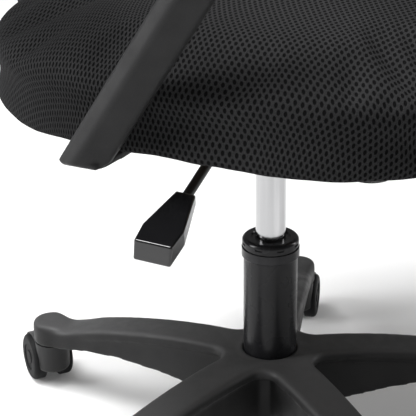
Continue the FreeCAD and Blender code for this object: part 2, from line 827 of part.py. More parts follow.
def arm_section(at, direction):
    """Five-sided section, its ridge outward and nearer the rear edge."""
    across = direction.cross(X).normalize()
    corners = [(-12.0, 15.0), (10.0, 17.0), (15.0, 3.0), (2.0, -16.5), (-12.0, -15.0)]
    points = [at + X * out + across * side for out, side in corners]
    return smooth_wire(points, [4.0, 5.0, 6.0, 6.0, 4.0], closed=True)


def arm_shape():
    """Left arm about the plane X = 0, outward along +X: strut, rest and fixings."""
    points = [ARM_HEEL, ARM_KNEE, ARM_TOP_FRONT, ARM_TOP_BACK]
    path = smooth_wire(points, [0, 70.0, 48.0, 0])
    loop = swept(path, arm_section(points[0], (points[1] - points[0]).normalize()), X)
    loop = loop.cut(Part.makeBox(60, 120, 40, Vector(-30, -20, ARM_SOLE - 40)))
    foot_points = [Vector(x, 0, z) for x, z in (
        (10.5, 377.5), (-4.0, 375.2), (-24.0, 374.5), (-68.0, 374.5), (-76.0, 378.0),
        (-122.0, 378.0), (-122.0, 390.0), (-50.0, 390.0), (-48.0, 381.6), (9.0, 381.6))]
    rounding = [2, 30, 30, 12, 12, 3, 0.5, 1, 2, 1]
    foot = Part.Face(smooth_wire(foot_points, rounding, closed=True)).extrude(Y * 100)
    plan = Part.Face(smooth_wire([Vector(x, y, 360) for x, y in ARM_FOOT], [2, 30, 2, 2, 2],
                                 closed=True)).extrude(Z * 40)
    foot = foot.common(plan)
    boss = Part.makeCylinder(15.0, 36.0, Vector(-36.0, ARM_TOP_BACK.y - 14, 649.0), X)
    return loop.fuse([foot, boss]).removeSplitter()


def arms():
    line = float(S["arm_line"])
    left = arm_shape()
    left.translate(Vector(line, 0, 0))
    right = left.mirror(Vector(), X)
    for name, shape, side in (("arm_left", left, 1), ("arm_right", right, -1)):
        blank = shaped(f"{name}_blank", shape)
        holes = [rod(f"{name}_hole{number}", 3.0, 370.0, 395.0, place)
                 for number, place in enumerate(ARM_BOLT_PLACES) if place[0] * side > 0]
        cut(name, blank, holes + [doc.getObject("back_frame")])
    top = S["plate_bottom"] + S["plate_depth"] + S["board_depth"]
    bolts = []
    for number, place in enumerate(ARM_BOLT_PLACES):
        under = S["plate_bottom"] - (12.0 if abs(place[0]) < 180 else 15.5)
        bolts.append(bolt(f"ArmBolt{number}", 3.0, under, top, place, head_height=6.0))
    group("arm_bolts", bolts)


def arm_pads():
    """Soft pads on the level run of the arms."""
    along = (ARM_TOP_BACK - ARM_TOP_FRONT).normalize()
    tilt = Rotation(Y, along)
    for name, side in (("arm_pad_left", 1), ("arm_pad_right", -1)):
        blank = doc.addObject("Part::Box", f"{name}_blank")
        bind(blank, Length=S["pad_width"], Width=S["pad_length"], Height=S["pad_depth"])
        soft = rounded_edges(f"{name}_soft", blank, 8.5, lambda edge: True)
        middle = ARM_TOP_FRONT + along * 140.0
        corner = Vector(-float(S["pad_width"]) / 2, -float(S["pad_length"]) / 2, 13.0)
        placed = Vector(side * float(S["arm_line"]), 0, 0) + middle + tilt.multVec(corner)
        soft.Placement = Placement(placed, tilt)
        cut(name, soft, [doc.getObject("arm_left" if side > 0 else "arm_right")])


# --- back ----------------------------------------------------------------------------------------


def back_place():
    """Turns the back from upright to reclined, about its lower edge."""
    base = Vector(0, float(S["back_place"]), float(S["back_bottom"]))
    return Placement(base, Rotation(X, -float(S["back_recline"])))


def back_shell(front, rear):
    """Upright curved wall, hollow towards the sitter, between two depths from its rear."""
    curve, depth = float(S["back_curve"]), float(S["back_depth"])
    centre = Vector(0, -curve - depth, -50)
    outer = Part.makeCylinder(curve + depth - rear, 700, centre)
    return outer.cut(Part.makeCylinder(curve + depth - front, 700, centre))


def back_panel(corners, radii, front, rear):
    """The part of the curved wall that lies inside an outline seen from the front."""
    points = [Vector(x, -200, z) for x, z in corners]
    face = Part.Face(smooth_wire(points, radii, closed=True))
    return face.extrude(Vector(0, 300, 0)).common(back_shell(front, rear))


def mirrored(half):
    return half + [(-x, z) for x, z in reversed(half)]


def back_parts():
    height = float(S["back_height"])
    outer_half = [(188.0, 0.0), (236.0, 150.0), (226.0, 330.0), (186.0, height)]
    inner_half = [(168.0, 62.0), (209.0, 158.0), (200.0, 324.0), (164.0, height - 26)]
    mesh_half = [(174.0, 54.0), (216.0, 156.0), (207.0, 327.0), (171.0, height - 18)]
    radii = [60.0, 120.0, 200.0, 62.0, 62.0, 200.0, 120.0, 60.0]
    tight = [38.0, 100.0, 180.0, 40.0, 40.0, 180.0, 100.0, 38.0]
    depth = float(S["back_depth"])
    place = back_place()
    outer = back_panel(mirrored(outer_half), radii, depth, 0)
    inner = back_panel(mirrored(inner_half), tight, depth + 1, -1)
    shaped("back_frame", outer.cut(inner), place)
    shaped("back_mesh", back_panel(mirrored(mesh_half), tight, depth + 2, depth), place)
    lumbar_half = [(230.0, 128.0), (230.0, 178.0)]
    lumbar = back_panel(mirrored(lumbar_half), [5.0] * 4, depth - 5, 4).common(inner)
    shaped("lumbar_bar", lumbar, place)


def back_spine():
    """Flat bar from under the seat board up to the back frame's foot."""
    half, depth = 36.0, 10.0
    points = [Vector(0, 92.0, 376.0), Vector(0, 228.0, 376.0), Vector(0, 254.0, 565.0)]
    path = smooth_wire(points, [0, 45.0, 0])
    section = Part.makePolygon([Vector(x, 92.0, z) for x, z in (
        (-half, 371.0), (half, 371.0), (half, 381.0), (-half, 381.0), (-half, 371.0))])
    bar = swept(path, section, X)
    block = Part.makeBox(2 * half, 62.0, 9.5, Vector(-half, 92.0, 380.5))
    wall = Part.makeCylinder(float(S["back_curve"] + S["back_depth"]), 700,
                             Vector(0, -float(S["back_curve"] + S["back_depth"]), -50))
    wall.Placement = back_place().multiply(wall.Placement)
    shaped("back_spine", bar.fuse(block).cut(wall).removeSplitter())


# --- casters -----------------------------------------------------------------------------------------


def caster_stems():
    stems = []
    for angle in ARM_ANGLES:
        stem = turned(f"Stem{angle}", [
            (0.0, 28.0), (S["stem_radius"], 28.0), (S["stem_radius"], S["boss_bottom"] - 1.1),
            (8.5, S["boss_bottom"] - 1.1), (8.5, S["boss_bottom"]),
            (S["stem_radius"], S["boss_bottom"]), (S["stem_radius"], S["boss_bottom"] + 12),
            (S["stem_radius"] - 1, S["boss_bottom"] + 13), (0.0, S["boss_bottom"] + 13)])
        stem.Placement = Placement(ring_place(angle), Rotation())
        stems.append(stem)
    group("caster_stems", stems)


def hood_shape():
    """Twin-wheel caster hood about its stem, trailing along +X."""
    axle = Vector(float(S["caster_trail"]), 0, float(S["wheel_radius"]))
    outer, inner = float(S["hood_radius"]), float(S["hood_radius"] - S["hood_wall"])
    width, web = float(S["hood_width"]), float(S["web_width"])
    low, top = 18.0, float(S["boss_bottom"]) - 3.0

    def disc(radius, across, middle=0.0):
        return Part.makeCylinder(radius, across, axle + Y * (middle - across / 2), Y)

    fender = disc(outer, width)
    fender = fender.makeFillet(1.0, [edge for edge in fender.Edges if edge.Closed])
    fender = fender.cut(Part.makeBox(100, 100, 50 + axle.z, Vector(-50, -50, -50)))
    middle = Vector(float(S["barrel_back"]), 0, low)
    barrel = Part.makeCylinder(float(S["barrel_radius"]), top - low, middle)
    lower_rim = [edge for edge in barrel.Edges if edge.Closed and edge.CenterOfMass.z < low + 1]
    barrel = barrel.makeFillet(4.5, lower_rim)
    body = fender.fuse([barrel, disc(8.0, web)])
    tail = Part.makeBox(60, 100, 60, Vector(0, -50, -60))
    tail.rotate(Vector(), Y, -30)
    tail.translate(axle + X * 6)
    body = body.cut(tail)
    side = (100 - web) / 2
    for middle in (-web / 2 - side / 2, web / 2 + side / 2):
        body = body.cut(disc(inner, side, middle))
    bore = Part.makeCylinder(float(S["stem_radius"] + S["running_gap"]), 60, Vector(0, 0, 27.6))
    axle_bore = disc(float(S["axle_radius"]), 100)
    return body.cut([bore, axle_bore]).removeSplitter()


def wheel_outline():
    """Half section of a wheel: radius, then distance out from its inner face."""
    radius, width = S["wheel_radius"], S["wheel_width"]
    bore, shoulder = S["axle_radius"] + 0.04, 4.4
    return [(0.0, width), (0.0, width - 2.2), (bore, width - 2.2), (bore, 0.0), (8.0, 0.0),
            (8.0, 1.0), (19.0, 1.0), (20.0, 0.0), (radius - 0.8, 0.0), (radius, 0.8),
            (radius, width - shoulder), Bend(shoulder), (radius - shoulder, width),
            (14.0, width), (13.2, width - 1.0), (7.4, width - 1.0), (6.6, width)]


def casters():
    trail, height = float(S["caster_trail"]), float(S["wheel_radius"])
    hood = hood_shape()
    half_web = S["web_width"] / 2
    for number, (angle, heading) in enumerate(zip(ARM_ANGLES, TRAIL_ANGLES), start=1):
        place = Placement(ring_place(angle), Rotation(Z, heading))
        shaped(f"caster_{number}_hood", hood.copy(), place)
        axle_place = place.multiply(Placement(Vector(trail, 0, height), Rotation()))
        reach = half_web + S["wheel_width"] - 2.5
        axle = turned(f"caster_{number}_axle", [
            (0.0, -reach), (S["axle_radius"], -reach), (S["axle_radius"], reach), (0.0, reach)])
        axle.Placement = axle_place.multiply(Placement(Vector(), Rotation(X, -90)))
        for side, turn in (("left", -90), ("right", 90)):
            wheel = turned(f"caster_{number}_wheel_{side}", wheel_outline())
            out = float(half_web) + 0.8
            shift = Vector(0, out if turn < 0 else -out, 0)
            wheel.Placement = axle_place.multiply(Placement(shift, Rotation(X, turn)))


# --- build, check and write ----------------------------------------------------------------------


NODES = [
    "star_base", "column_tube", "column_cap", "guide_bush", "bearing_washer_lower",
    "bearing_balls", "caster_stems", "bearing_washer_upper", "piston_rod", "rod_clip",
    "piston_head", "gas_cylinder", "gas_seal", "mech_housing", "tilt_pin", "rocker_pin",
    "tilt_spring", "valve_button", "valve_rocker", "lever_rod", "lever_paddle",
    "tension_knob", "tension_bolt", "spring_plate", "mech_top_plate", "mech_bolts",
    "seat_board", "seat_cushion", "arm_left", "arm_right", "arm_bolts", "arm_pad_left",
    "arm_pad_right", "back_frame", "back_mesh", "lumbar_bar", "back_spine",
] + [f"caster_{number}_{piece}" for number in range(1, 6)
     for piece in ("hood", "axle", "wheel_left", "wheel_right")]


def build():
    star_base()
    column_tube()
    column_cap()
    guide_bush()
    thrust_bearing()
    piston_rod()
    gas_cylinder()
    mech_housing()
    mech_pins()
    tilt_spring()
    tension_parts()
    mech_top_plate()
    mech_bolts()
    lever_parts()
    seat_parts()
    back_parts()
    arms()
    doc.recompute()
    arm_pads()
    back_spine()
    caster_stems()
    casters()
    doc.recompute()


def check_and_write():
    for item in doc.Objects:
        if "Invalid" in item.State or "Error" in item.State:
            raise RuntimeError(f"{item.Name}: {item.State}")
    os.makedirs("parts", exist_ok=True)
    for name in NODES:
        piece = doc.getObject(name)
        piece.Label = name
        shape = piece.Shape
        if shape.isNull() or not shape.isValid():
            raise RuntimeError(f"{name} has no valid shape")
        print(f"{name:24s} solids {len(shape.Solids):2d}  volume {shape.Volume / 1000:9.2f} cm3")
        shape.exportStep(f"parts/{name}.step")


build()
check_and_write()
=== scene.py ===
import math

import bmesh
import bpy
from mathutils import Euler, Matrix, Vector, noise
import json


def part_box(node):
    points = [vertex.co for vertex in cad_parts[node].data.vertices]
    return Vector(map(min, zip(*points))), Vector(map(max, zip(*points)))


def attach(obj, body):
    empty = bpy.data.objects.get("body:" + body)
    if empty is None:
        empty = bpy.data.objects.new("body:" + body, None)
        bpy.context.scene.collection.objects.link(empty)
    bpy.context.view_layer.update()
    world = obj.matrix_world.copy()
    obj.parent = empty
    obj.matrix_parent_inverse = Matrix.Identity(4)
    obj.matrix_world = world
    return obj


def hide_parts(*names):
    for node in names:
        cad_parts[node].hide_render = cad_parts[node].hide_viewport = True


# Swivel office chair, in metres, +Z up, the sitter facing -Y. Pieces that fabric or moulding
# softens are rebuilt here over their CAD nodes; every other node keeps its CAD mesh.

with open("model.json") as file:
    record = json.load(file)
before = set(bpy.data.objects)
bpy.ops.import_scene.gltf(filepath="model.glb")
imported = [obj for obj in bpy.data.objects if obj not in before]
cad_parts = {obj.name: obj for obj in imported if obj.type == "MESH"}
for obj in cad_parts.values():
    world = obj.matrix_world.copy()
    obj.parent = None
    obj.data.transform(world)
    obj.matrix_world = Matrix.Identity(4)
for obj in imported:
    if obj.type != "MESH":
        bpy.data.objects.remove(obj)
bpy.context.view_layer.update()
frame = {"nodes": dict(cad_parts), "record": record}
scene = bpy.context.scene

CAMERA_PLACE = (-1.22209, -0.56475, 0.83202)
CAMERA_TURN_DEG = (66.4224, 0.5506, -62.9991)
CAMERA_LENS_MM = 139.28
MESH_PITCH = 0.0058          # hole to hole in the seat's spacer mesh
PANEL_PITCH = 0.0030         # hole to hole in the back's woven mesh
CLOTH_GAP = 0.0006           # between the seat's board and its cover
CROWN_RISE = 0.010           # middle of the seat above its shoulder
TOP_RINGS = 18               # rings of vertices from the shoulder in to the middle
CLOTH_FRAMES = 20            # steps of the cloth simulation


# --- camera, floor and light ---------------------------------------------------------------


def make_camera():
    camera = bpy.data.objects.new("camera", bpy.data.cameras.new("camera"))
    camera.data.sensor_width = 36
    camera.data.lens = CAMERA_LENS_MM
    camera.data.clip_end = 50
    camera.location = CAMERA_PLACE
    camera.rotation_euler = Euler([math.radians(a) for a in CAMERA_TURN_DEG], "XYZ")
    scene.collection.objects.link(camera)
    scene.camera = camera


def area_light(name, place, target, size, power):
    light = bpy.data.lights.new(name, "AREA")
    light.shape = "RECTANGLE"
    light.size, light.size_y = size
    light.energy = power
    item = bpy.data.objects.new(name, light)
    item.location = place
    item.rotation_euler = (Vector(target) - Vector(place)).to_track_quat("-Z", "Y").to_euler()
    scene.collection.objects.link(item)


def make_studio():
    """Pale floor, an even dim world and three large soft lights."""
    bpy.ops.mesh.primitive_plane_add(size=14, location=(0, 0, 0))
    floor = bpy.context.object
    floor.name = "floor"
    paint = bpy.data.materials.new("floor_paint")
    paint.use_nodes = True
    shader = paint.node_tree.nodes["Principled BSDF"]
    shader.inputs["Base Color"].default_value = (0.86, 0.86, 0.86, 1)
    shader.inputs["Roughness"].default_value = 0.9
    shader.inputs["Emission Color"].default_value = (1, 1, 1, 1)
    shader.inputs["Emission Strength"].default_value = 0.06
    floor.data.materials.append(paint)
    world = bpy.data.worlds.new("studio")
    world.use_nodes = True
    world.node_tree.nodes["Background"].inputs["Color"].default_value = (1, 1, 1, 1)
    world.node_tree.nodes["Background"].inputs["Strength"].default_value = 0.22
    scene.world = world
    area_light("top", (-0.5, 0.6, 2.6), (0, 0, 0.2), (1.2, 1.2), 88)
    area_light("rear_side", (-1.6, 2.1, 1.3), (0, 0, 0.3), (0.8, 1.6), 58)
    area_light("front_side", (2.0, -1.9, 1.0), (0, 0, 0.2), (0.5, 1.6), 20)
    scene.view_settings.view_transform = "Standard"


# --- material helpers ----------------------------------------------------------------------


class Paint:
    """A node material being built up, one property at a time."""

    def __init__(self, name, roughness=0.5, metallic=0.0, gloss=0.5):
        self.material = bpy.data.materials.new(name)
        self.material.use_nodes = True
        self.tree = self.material.node_tree
        self.shader = self.tree.nodes["Principled BSDF"]
        self.set("Roughness", roughness)
        self.set("Metallic", metallic)
        self.set("Specular IOR Level", gloss)
        self.place = self.add("ShaderNodeTexCoord").outputs["Object"]

    def add(self, kind, **settings):
        node = self.tree.nodes.new(kind)
        for key, value in settings.items():
            setattr(node, key, value)
        return node

    def join(self, source, target):
        self.tree.links.new(source, target)

    def set(self, socket, value):
        self.shader.inputs[socket].default_value = value

    def math(self, operation, first, second=0.0):
        node = self.add("ShaderNodeMath", operation=operation)
        for socket, value in zip(node.inputs, (first, second)):
            if isinstance(value, (int, float)):
                socket.default_value = value
            else:
                self.join(value, socket)
        return node.outputs[0]

    def spread(self, value, low, high, from_low=0.0, from_high=1.0):
        node = self.add("ShaderNodeMapRange", interpolation_type="SMOOTHSTEP")
        self.join(value, node.inputs["Value"])
        node.inputs["From Min"].default_value = from_low
        node.inputs["From Max"].default_value = from_high
        node.inputs["To Min"].default_value = low
        node.inputs["To Max"].default_value = high
        return node.outputs["Result"]

    def stretch(self, scale):
        node = self.add("ShaderNodeMapping")
        node.inputs["Scale"].default_value = scale
        self.join(self.place, node.inputs["Vector"])
        return node.outputs["Vector"]

    def noise(self, scale, detail=3.0, place=None, roughness=0.5):
        node = self.add("ShaderNodeTexNoise")
        node.inputs["Scale"].default_value = scale
        node.inputs["Detail"].default_value = detail
        node.inputs["Roughness"].default_value = roughness
        self.join(place or self.place, node.inputs["Vector"])
        return node.outputs["Fac"]

    def cells(self, scale):
        node = self.add("ShaderNodeTexVoronoi")
        node.inputs["Scale"].default_value = scale
        self.join(self.place, node.inputs["Vector"])
        return node.outputs["Distance"]

    def blend(self, amount, first, second):
        """Colour that goes from first to second as amount goes from 0 to 1."""
        node = self.add("ShaderNodeMix", data_type="RGBA")
        node.clamp_factor = True
        self.join(amount, node.inputs["Factor"])
        for socket, value in ((node.inputs[6], first), (node.inputs[7], second)):
            if isinstance(value, tuple):
                socket.default_value = value + (1,)
            else:
                self.join(value, socket)
        return node.outputs[2]

    def bump(self, height, depth, strength=1.0, under=None):
        node = self.add("ShaderNodeBump")
        node.inputs["Distance"].default_value = depth
        node.inputs["Strength"].default_value = strength
        self.join(height, node.inputs["Height"])
        if under:
            self.join(under, node.inputs["Normal"])
        return node.outputs["Normal"]

    def finish(self, colour=None, roughness=None, normal=None):
        for value, socket in ((colour, "Base Color"), (roughness, "Roughness"),
                              (normal, "Normal")):
            if value is not None:
                self.join(value, self.shader.inputs[socket])
        return self.material


def shade(colour, factor):
    return tuple(min(part * factor, 1.0) for part in colour)


def edge_wear(paint, colour, lighter):
    """Raised edges rub paler."""
    pointiness = paint.add("ShaderNodeNewGeometry").outputs["Pointiness"]
    amount = paint.spread(pointiness, 0.0, 1.0, 0.52, 0.60)
    return paint.blend(amount, colour, lighter)


def moulded_nylon(name, colour, grain=0.0009, roughness=(0.42, 0.6), grain_depth=0.00007,
                  gloss=0.25, top_light_gain=1.0):
    """Matt moulded plastic: fine spark texture, slow tone changes, paler rubbed edges.

    The last argument is how much paler the faces that look up are painted: painted light from above.
    """
    paint = Paint(name, gloss=gloss)
    tone = paint.noise(14, 4)
    base = paint.blend(paint.spread(tone, 0.0, 1.0, 0.3, 0.7), shade(colour, 0.86),
                       shade(colour, 1.16))
    # Faces that look up are painted paler: painted top light, standing in for the light from above.
    if top_light_gain > 1.0:
        facing = paint.add("ShaderNodeSeparateXYZ")
        paint.join(paint.add("ShaderNodeNewGeometry").outputs["Normal"], facing.inputs[0])
        top_light_amount = paint.spread(facing.outputs["Z"], 0.0, 1.0, 0.1, 0.9)
        base = paint.blend(top_light_amount, base, shade(colour, top_light_gain))
    fine = paint.noise(1 / grain, 2)
    speckled = paint.blend(paint.spread(fine, 0.0, 0.35, 0.4, 0.8), base, shade(colour, 1.7))
    worn = edge_wear(paint, speckled, shade(colour, 1.8))
    rough = paint.spread(paint.noise(60, 3), roughness[0], roughness[1], 0.3, 0.7)
    dents = paint.bump(paint.noise(9, 2), 0.0006, 0.5)
    return paint.finish(worn, rough, paint.bump(fine, grain_depth, 0.9, dents))


def coated_metal(name, colour, roughness=(0.22, 0.34), peel=0.004, depth=0.00003):
    """Powder coat or paint: light orange peel and a few handled patches."""
    paint = Paint(name, gloss=0.22)
    tone = paint.spread(paint.noise(11, 4), 0.0, 1.0, 0.35, 0.7)
    base = paint.blend(tone, shade(colour, 0.8), shade(colour, 1.25))
    rubbed = edge_wear(paint, base, shade(colour, 2.2))
    rough = paint.spread(paint.noise(35, 4), roughness[0], roughness[1], 0.3, 0.7)
    return paint.finish(rubbed, rough, paint.bump(paint.noise(1 / peel, 2), depth, 0.8))


def bare_metal(name, colour, roughness=(0.08, 0.16), scratch_and_reflection_stretch=(40, 40, 900), depth=0.000004,
               dull_and_reflection_bands=0.93):
    """Plated or ground steel, with fine lines and slightly duller streaks along them. On the chrome
    the streaks are stretched into long dark bands down its length: painted reflections of the
    studio.
    """
    paint = Paint(name, metallic=1.0)
    lines = paint.noise(1.0, 3, paint.stretch(scratch_and_reflection_stretch))
    tone = paint.spread(lines, 0.0, 1.0, 0.3, 0.7)
    base = paint.blend(tone, shade(colour, dull_and_reflection_bands), colour)
    smears = paint.noise(18, 4)
    rough = paint.spread(smears, roughness[0], roughness[1], 0.3, 0.7)
    return paint.finish(base, rough, paint.bump(lines, depth, 0.6))


def soft_skin(name, colour):
    """Foamed polyurethane skin with a fine leather grain."""
    paint = Paint(name)
    cells = paint.cells(900)
    tone = paint.spread(paint.noise(20, 4), 0.0, 1.0, 0.3, 0.7)
    base = paint.blend(tone, shade(colour, 0.85), shade(colour, 1.2))
    creased = paint.blend(paint.spread(cells, 0.0, 1.0, 0.25, 0.7), base, shade(colour, 1.5))
    rough = paint.spread(paint.noise(70, 2), 0.5, 0.66, 0.3, 0.7)
    dimples = paint.bump(paint.noise(30, 2), 0.0005, 0.5)
    return paint.finish(creased, rough, paint.bump(cells, 0.00012, 0.8, dimples))


def plywood(name):
    """Grey-stained plywood with grain along the seat."""
    paint = Paint(name, roughness=0.6)
    grain = paint.noise(1.0, 5, paint.stretch((160, 6, 160)), 0.6)
    rings = paint.noise(1.0, 2, paint.stretch((14, 1.2, 14)))
    amount = paint.spread(paint.math("ADD", paint.math("MULTIPLY", grain, 0.6),
                                     paint.math("MULTIPLY", rings, 0.4)), 0.0, 1.0, 0.35, 0.65)
    base = paint.blend(amount, (0.13, 0.10, 0.075), (0.24, 0.20, 0.155))
    rough = paint.spread(grain, 0.5, 0.75, 0.3, 0.7)
    return paint.finish(base, rough, paint.bump(grain, 0.0002, 0.6))


def hole_lattice(paint, pitch, across, tall):
    """Distance from the nearest centre of a staggered lattice, in hole half-widths.

    The lattice lies in the mesh's own flat coordinates, its rows along V.
    """
    flat = paint.add("ShaderNodeUVMap", uv_map="flat").outputs["UV"]
    split = paint.add("ShaderNodeSeparateXYZ")
    paint.join(flat, split.inputs[0])
    row = pitch * math.sqrt(3)
    distances = []
    for shift in (0.0, 0.5):
        squares = []
        for value, step, half in ((split.outputs["Y"], pitch, across),
                                  (split.outputs["X"], row, tall)):
            phase = paint.math("ADD", paint.math("DIVIDE", value, step), shift)
            offset = paint.math("SUBTRACT", paint.math("FRACT", phase), 0.5)
            size = paint.math("MULTIPLY", offset, step / half)
            squares.append(paint.math("MULTIPLY", size, size))
        distances.append(paint.math("SQRT", paint.math("ADD", squares[0], squares[1])))
    return paint.math("MINIMUM", distances[0], distances[1])


def spacer_mesh(name):
    """Knitted three-dimensional mesh: round-cornered ribs round oval holes, the holes painted dark
    as the shade inside them.
    """
    paint = Paint(name, gloss=0.04)
    apart = hole_lattice(paint, MESH_PITCH, 0.27 * MESH_PITCH, 0.40 * MESH_PITCH)
    rib = paint.spread(apart, 0.0, 1.0, 0.70, 1.15)
    yarn = paint.noise(2600, 2)
    tone = paint.spread(paint.noise(9, 3), 0.85, 1.15, 0.3, 0.7)
    lift = paint.math("MULTIPLY", rib, tone)
    rib_colour = paint.blend(paint.spread(yarn, 0.0, 1.0, 0.35, 0.7), (0.016, 0.016, 0.0165),
                             (0.040, 0.040, 0.041))
    # The hole colour is painted shade: the dark down inside the holes of the knit.
    base = paint.blend(lift, (0.0045, 0.0045, 0.0047), rib_colour)
    rough = paint.spread(yarn, 0.75, 0.95, 0.3, 0.7)
    fibres = paint.bump(yarn, 0.0002, 0.6)
    return paint.finish(base, rough, paint.bump(rib, 0.0008, 0.8, fibres))


def woven_panel(name):
    """Thin stretched mesh that lets light through between its yarns."""
    paint = Paint(name)
    paint.set("Sheen Weight", 0.15)
    apart = hole_lattice(paint, PANEL_PITCH, 0.20 * PANEL_PITCH, 0.36 * PANEL_PITCH)
    rib = paint.spread(apart, 0.0, 1.0, 0.8, 1.05)
    yarn = paint.noise(2400, 2)
    base = paint.blend(paint.spread(yarn, 0.0, 1.0, 0.3, 0.7), (0.012, 0.012, 0.013),
                       (0.028, 0.028, 0.03))
    rough = paint.spread(yarn, 0.6, 0.8, 0.3, 0.7)
    paint.join(rib, paint.shader.inputs["Alpha"])
    return paint.finish(base, rough, paint.bump(rib, 0.0004, 0.8))


# --- mesh helpers --------------------------------------------------------------------------


def smooth_step(start, end, value):
    part = min(max((value - start) / (end - start), 0.0), 1.0)
    return part * part * (3 - 2 * part)


def new_piece(name, mesh, material):
    item = bpy.data.objects.new(name, mesh)
    scene.collection.objects.link(item)
    item.data.materials.clear()
    item.data.materials.append(material)
    for face in item.data.polygons:
        face.use_smooth = True
    return item


def evaluated(item):
    """The object's mesh with its modifiers applied."""
    bpy.context.view_layer.update()
    graph = bpy.context.evaluated_depsgraph_get()
    return bpy.data.meshes.new_from_object(item.evaluated_get(graph))


def softened(name, node, material, voxel, smoothing, passes, joint=None, joint_passes=0):
    """A moulded copy of a CAD node, its corners and joins blended as in a real mould.

    joint gives, for a point, how far the join that it is in gets its own extra blending.
    """
    source = frame["nodes"][node].data.copy()
    item = new_piece(f"{name}_blank", source, material)
    remesh = item.modifiers.new("remesh", "REMESH")
    remesh.mode = "VOXEL"
    remesh.voxel_size = voxel
    smooth = item.modifiers.new("smooth", "SMOOTH")
    smooth.factor = smoothing
    smooth.iterations = passes
    mesh = evaluated(item)
    bpy.data.objects.remove(item)
    piece = new_piece(name, mesh, material)
    if joint:
        group = piece.vertex_groups.new(name="joint")
        for vertex in mesh.vertices:
            group.add([vertex.index], joint(vertex.co), "REPLACE")
        smooth = piece.modifiers.new("blend", "SMOOTH")
        smooth.factor = 0.5
        smooth.iterations = joint_passes
        smooth.vertex_group = "joint"
        blended = evaluated(piece)
        piece.modifiers.clear()
        piece.vertex_groups.clear()
        piece.data = blended
        bpy.data.meshes.remove(mesh)
    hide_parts(node)
    return piece


# --- seat cushion --------------------------------------------------------------------------


def rounded_outline(half_width, front, back, front_radius, back_radius, step):
    """Points and outward directions round the seat's plan, from the middle of the front."""
    corners = [(half_width - front_radius, front + front_radius, front_radius, -90),
               (half_width - back_radius, back - back_radius, back_radius, 0),
               (-half_width + back_radius, back - back_radius, back_radius, 90),
               (-half_width + front_radius, front + front_radius, front_radius, 180)]
    places = []
    for number, (x, y, radius, start) in enumerate(corners):
        turns = max(int(radius * math.pi / 2 / step), 2)
        for part in range(turns + 1):
            angle = math.radians(start + 90 * part / turns)
            way = Vector((math.cos(angle), math.sin(angle), 0))
            places.append((Vector((x, y, 0)) + way * radius, way))
        after_x, after_y, after_radius, after_start = corners[(number + 1) % 4]
        way = Vector((math.cos(math.radians(after_start)), math.sin(math.radians(after_start)), 0))
        target = Vector((after_x, after_y, 0)) + way * after_radius
        here = places[-1][0]
        parts = max(int((target - here).length / step), 1)
        for part in range(1, parts):
            places.append((here.lerp(target, part / parts), way))
    return places


def cloth_place(place, half_width):
    """Where a point of the plan lies on the flat cloth, which is pulled askew at the corners."""
    inward = max(half_width - abs(place.x), 0.0)
    forward = smooth_step(0.10, -0.20, place.y)
    backward = smooth_step(0.02, 0.19, place.y)
    skew = 0.10 + 0.50 * forward - 0.55 * backward
    reach = 0.10
    along = place.y - skew * reach * (1 - math.exp(-inward / reach))
    gathered = 0.45 * smooth_step(-0.08, 0.12, along) * (along + 0.08)
    return (place.x, along + gathered)


def cushion_side(bottom, under, inner):
    """Section from the board's edge out round the skirt and up the undercut side.

    Each point is a distance out from the plan, then a height.
    """
    return [(inner, under), (inner, bottom + 0.007), (inner + 0.006, bottom + 0.001),
            (-0.009, bottom), (-0.002, bottom + 0.0015), (0.0, bottom + 0.007),
            (-0.0015, bottom + 0.016), (-0.004, bottom + 0.026), (-0.0035, bottom + 0.036),
            (0.0, bottom + 0.045), (0.002, bottom + 0.053), (0.0005, bottom + 0.061),
            (-0.005, bottom + 0.068), (-0.013, bottom + 0.073), (-0.022, bottom + 0.0765)]


def hem_ripple(place):
    """Slow waves and small puckers where the cover is stapled under the board."""
    return 0.0045 * noise.noise(place * 17) + 0.0012 * noise.noise(place * 60)


def join_rings(mesh, rings):
    """Four-sided faces between each ring of vertices and the next."""
    for first, second in zip(rings, rings[1:]):
        for number in range(len(first)):
            after = (number + 1) % len(first)
            mesh.faces.new((first[number], first[after], second[after], second[number]))


